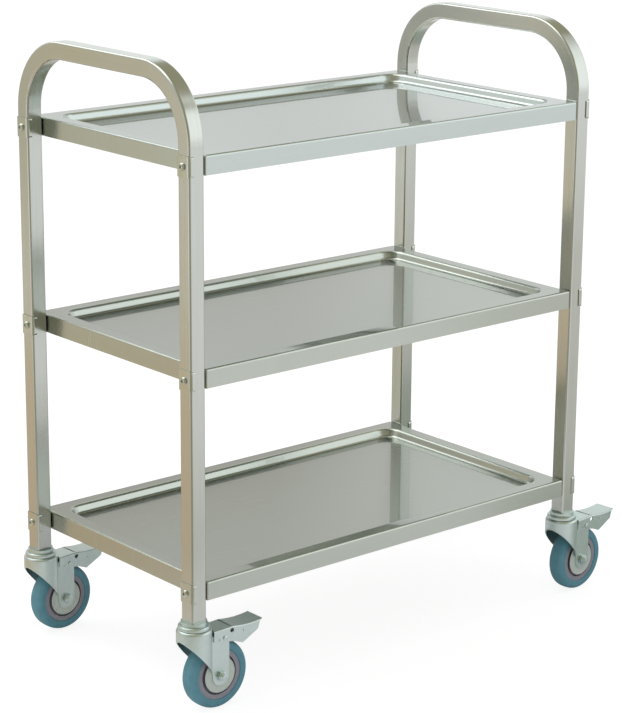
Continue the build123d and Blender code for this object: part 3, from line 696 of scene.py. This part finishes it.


# The brake pedals: a pressed channel over each fork, with a dished tread, punched holes and a brake tab.
# Zinc-plated steel, its edges rounded by the press. Inside the channel the plate is thin and dull, and it
# is painted dark as painted shade.
pedal_ease, channel_inside = 0.25, 15.9
facing_in, facing_down = 0.7, -0.3
# painted shade: a dark zinc colour for the inner faces of each channel, where shade falls
inside_shade_dark, inside_shade_pale = "#4C504B", "#5E625C"
shaded_inside_zinc, tree, zinc = finish("zinc_plate_painted_shade")
mottle(tree, zinc, zinc_spot, 3.0, inside_shade_dark, inside_shade_pale)
zinc.inputs["Roughness"].default_value = 0.6
zinc.inputs["Metallic"].default_value = 1
for corner in corners:
    hinge = joints[f"{corner}_brake"]
    pivot, axis = Vector(hinge["pos_m"]), Vector(hinge["axis"])
    shape = merged_copy(f"{corner}_brake_pedal")
    ease(shape, pedal_ease)
    for face in shape.faces:
        reach = (face.calc_center_median() - pivot).dot(axis)
        inward = face.normal.dot(axis) * (-1 if reach > 0 else 1)
        within = abs(reach) < channel_inside / 1000
        # the inner faces of the channel take the second material, the painted shade
        if within and (inward > facing_in or face.normal.z < facing_down):
            face.material_index = 1
    pedal = flatten(smooth(piece(f"{corner}_pressed_pedal", shape, zinc_plate)))
    pedal.data.materials.append(shaded_inside_zinc)
    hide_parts(f"{corner}_brake_pedal")
    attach(pedal, f"{corner}_pedal")


# The pedal pins: one through each fork and pedal, which turns on it.
# Zinc-plated steel, riveted over into a dome at both ends. Each is drawn about Z, in millimetres.
pin_radius, pin_head, pin_reach, pin_end = 2.5, 3.6, 17.5, 18.7
half = [(pin_radius, 0), (pin_radius, pin_reach), (pin_head, pin_reach),
        (pin_head - 0.05, pin_reach + 0.45), (pin_head - 0.6, pin_reach + 0.95),
        (pin_head - 1.8, pin_reach + 1.35), (0, pin_end)]
pin_section = [(radius, -height) for radius, height in reversed(half[1:])] + half
for corner in corners:
    hinge = joints[f"{corner}_brake"]
    across = (Matrix.Translation(Vector(hinge["pos_m"]))
              @ Vector(hinge["axis"]).to_track_quat("Z", "Y").to_matrix().to_4x4())
    shape = copies(turn_profile(pin_section, 40), [across])
    pin = smooth(piece(f"{corner}_riveted_pin", shape, zinc_plate))
    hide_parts(f"{corner}_pedal_pin")
    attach(pin, f"{corner}_caster")


# The hubs: the wheels' centres, one in each tyre, which turn on the bushes.
# Moulded grey polypropylene: a dull gloss, with faint clouds of colour.
hub_dark, hub_pale = "#85848F", "#95939D"
plastic_cloud = 8.333  # millimetres
hub_plastic, tree, plastic = finish("moulded_grey_polypropylene")
mottle(tree, plastic, plastic_cloud, 2.0, hub_dark, hub_pale)
plastic.inputs["Roughness"].default_value = 0.42
dress(hub_plastic, *(f"{corner}_hub" for corner in corners))


# The tyres: solid rubber, moulded onto the hubs, with a groove in each side and a parting line round
# the tread. Blue-grey rubber: matt, and clouded a little by dust in its grain.
tyre_dark, tyre_pale = "#4D818F", "#6298A6"
dust_cloud = 11.11  # millimetres
tyre_rubber, tree, rubber = finish("blue_grey_tyre_rubber")
mottle(tree, rubber, dust_cloud, 4.0, tyre_dark, tyre_pale)
rubber.inputs["Roughness"].default_value = 0.6
tread, bore = 50.0, 36.5
half = [(bore, 11.2), (bore + 0.5, 12.3), (bore + 1.6, 12.9), (40.4, 13.0), (40.9, 12.7), (41.7, 12.7),
        (42.2, 13.0), (43.4, 12.95), (45.2, 12.4), (46.9, 11.3), (48.3, 9.7), (49.2, 7.9), (49.7, 5.8),
        (49.92, 3.0), (tread, 0.9), (49.85, 0.45)]
tyre_section = half + [(radius, -height) for radius, height in reversed(half)] + [half[0]]
for corner in corners:
    shape = copies(turn_profile(tyre_section, 96), [axle_place(corner)])
    tyre = smooth(piece(f"{corner}_moulded_tyre", shape, tyre_rubber))
    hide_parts(f"{corner}_tyre")
    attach(tyre, f"{corner}_wheel")


# The thread guards: a light dished disc on the axle at each side of a wheel, which keeps threads out.
# Moulded pale polypropylene: a dull gloss, with faint clouds of colour.
guard_dark, guard_pale = "#B9C4BC", "#C8D1C8"
guard_plastic, tree, plastic = finish("moulded_pale_polypropylene")
mottle(tree, plastic, plastic_cloud, 2.0, guard_dark, guard_pale)
plastic.inputs["Roughness"].default_value = 0.4
guard_bore, guard_low, guard_high = 6.55, 12.1, 13.7
guard_section = [(guard_bore, guard_low), (25.6, guard_low), (26, guard_low + 0.4),
                 (26, guard_high - 0.7), (25.5, guard_high - 0.25), (24.9, guard_high - 0.1),
                 (24.3, guard_high - 0.25), (23.8, guard_high - 0.6), (17.2, guard_high - 0.6),
                 (16.4, guard_high), (guard_bore, guard_high), (guard_bore, guard_low)]
for corner in corners:
    place = axle_place(corner)
    far = place @ Matrix.Rotation(pi, 4, "X")
    shape = copies(turn_profile(guard_section, 72), [place, far])
    guards = smooth(piece(f"{corner}_dished_guards", shape, guard_plastic))
    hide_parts(f"{corner}_thread_guards")
    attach(guards, f"{corner}_caster")
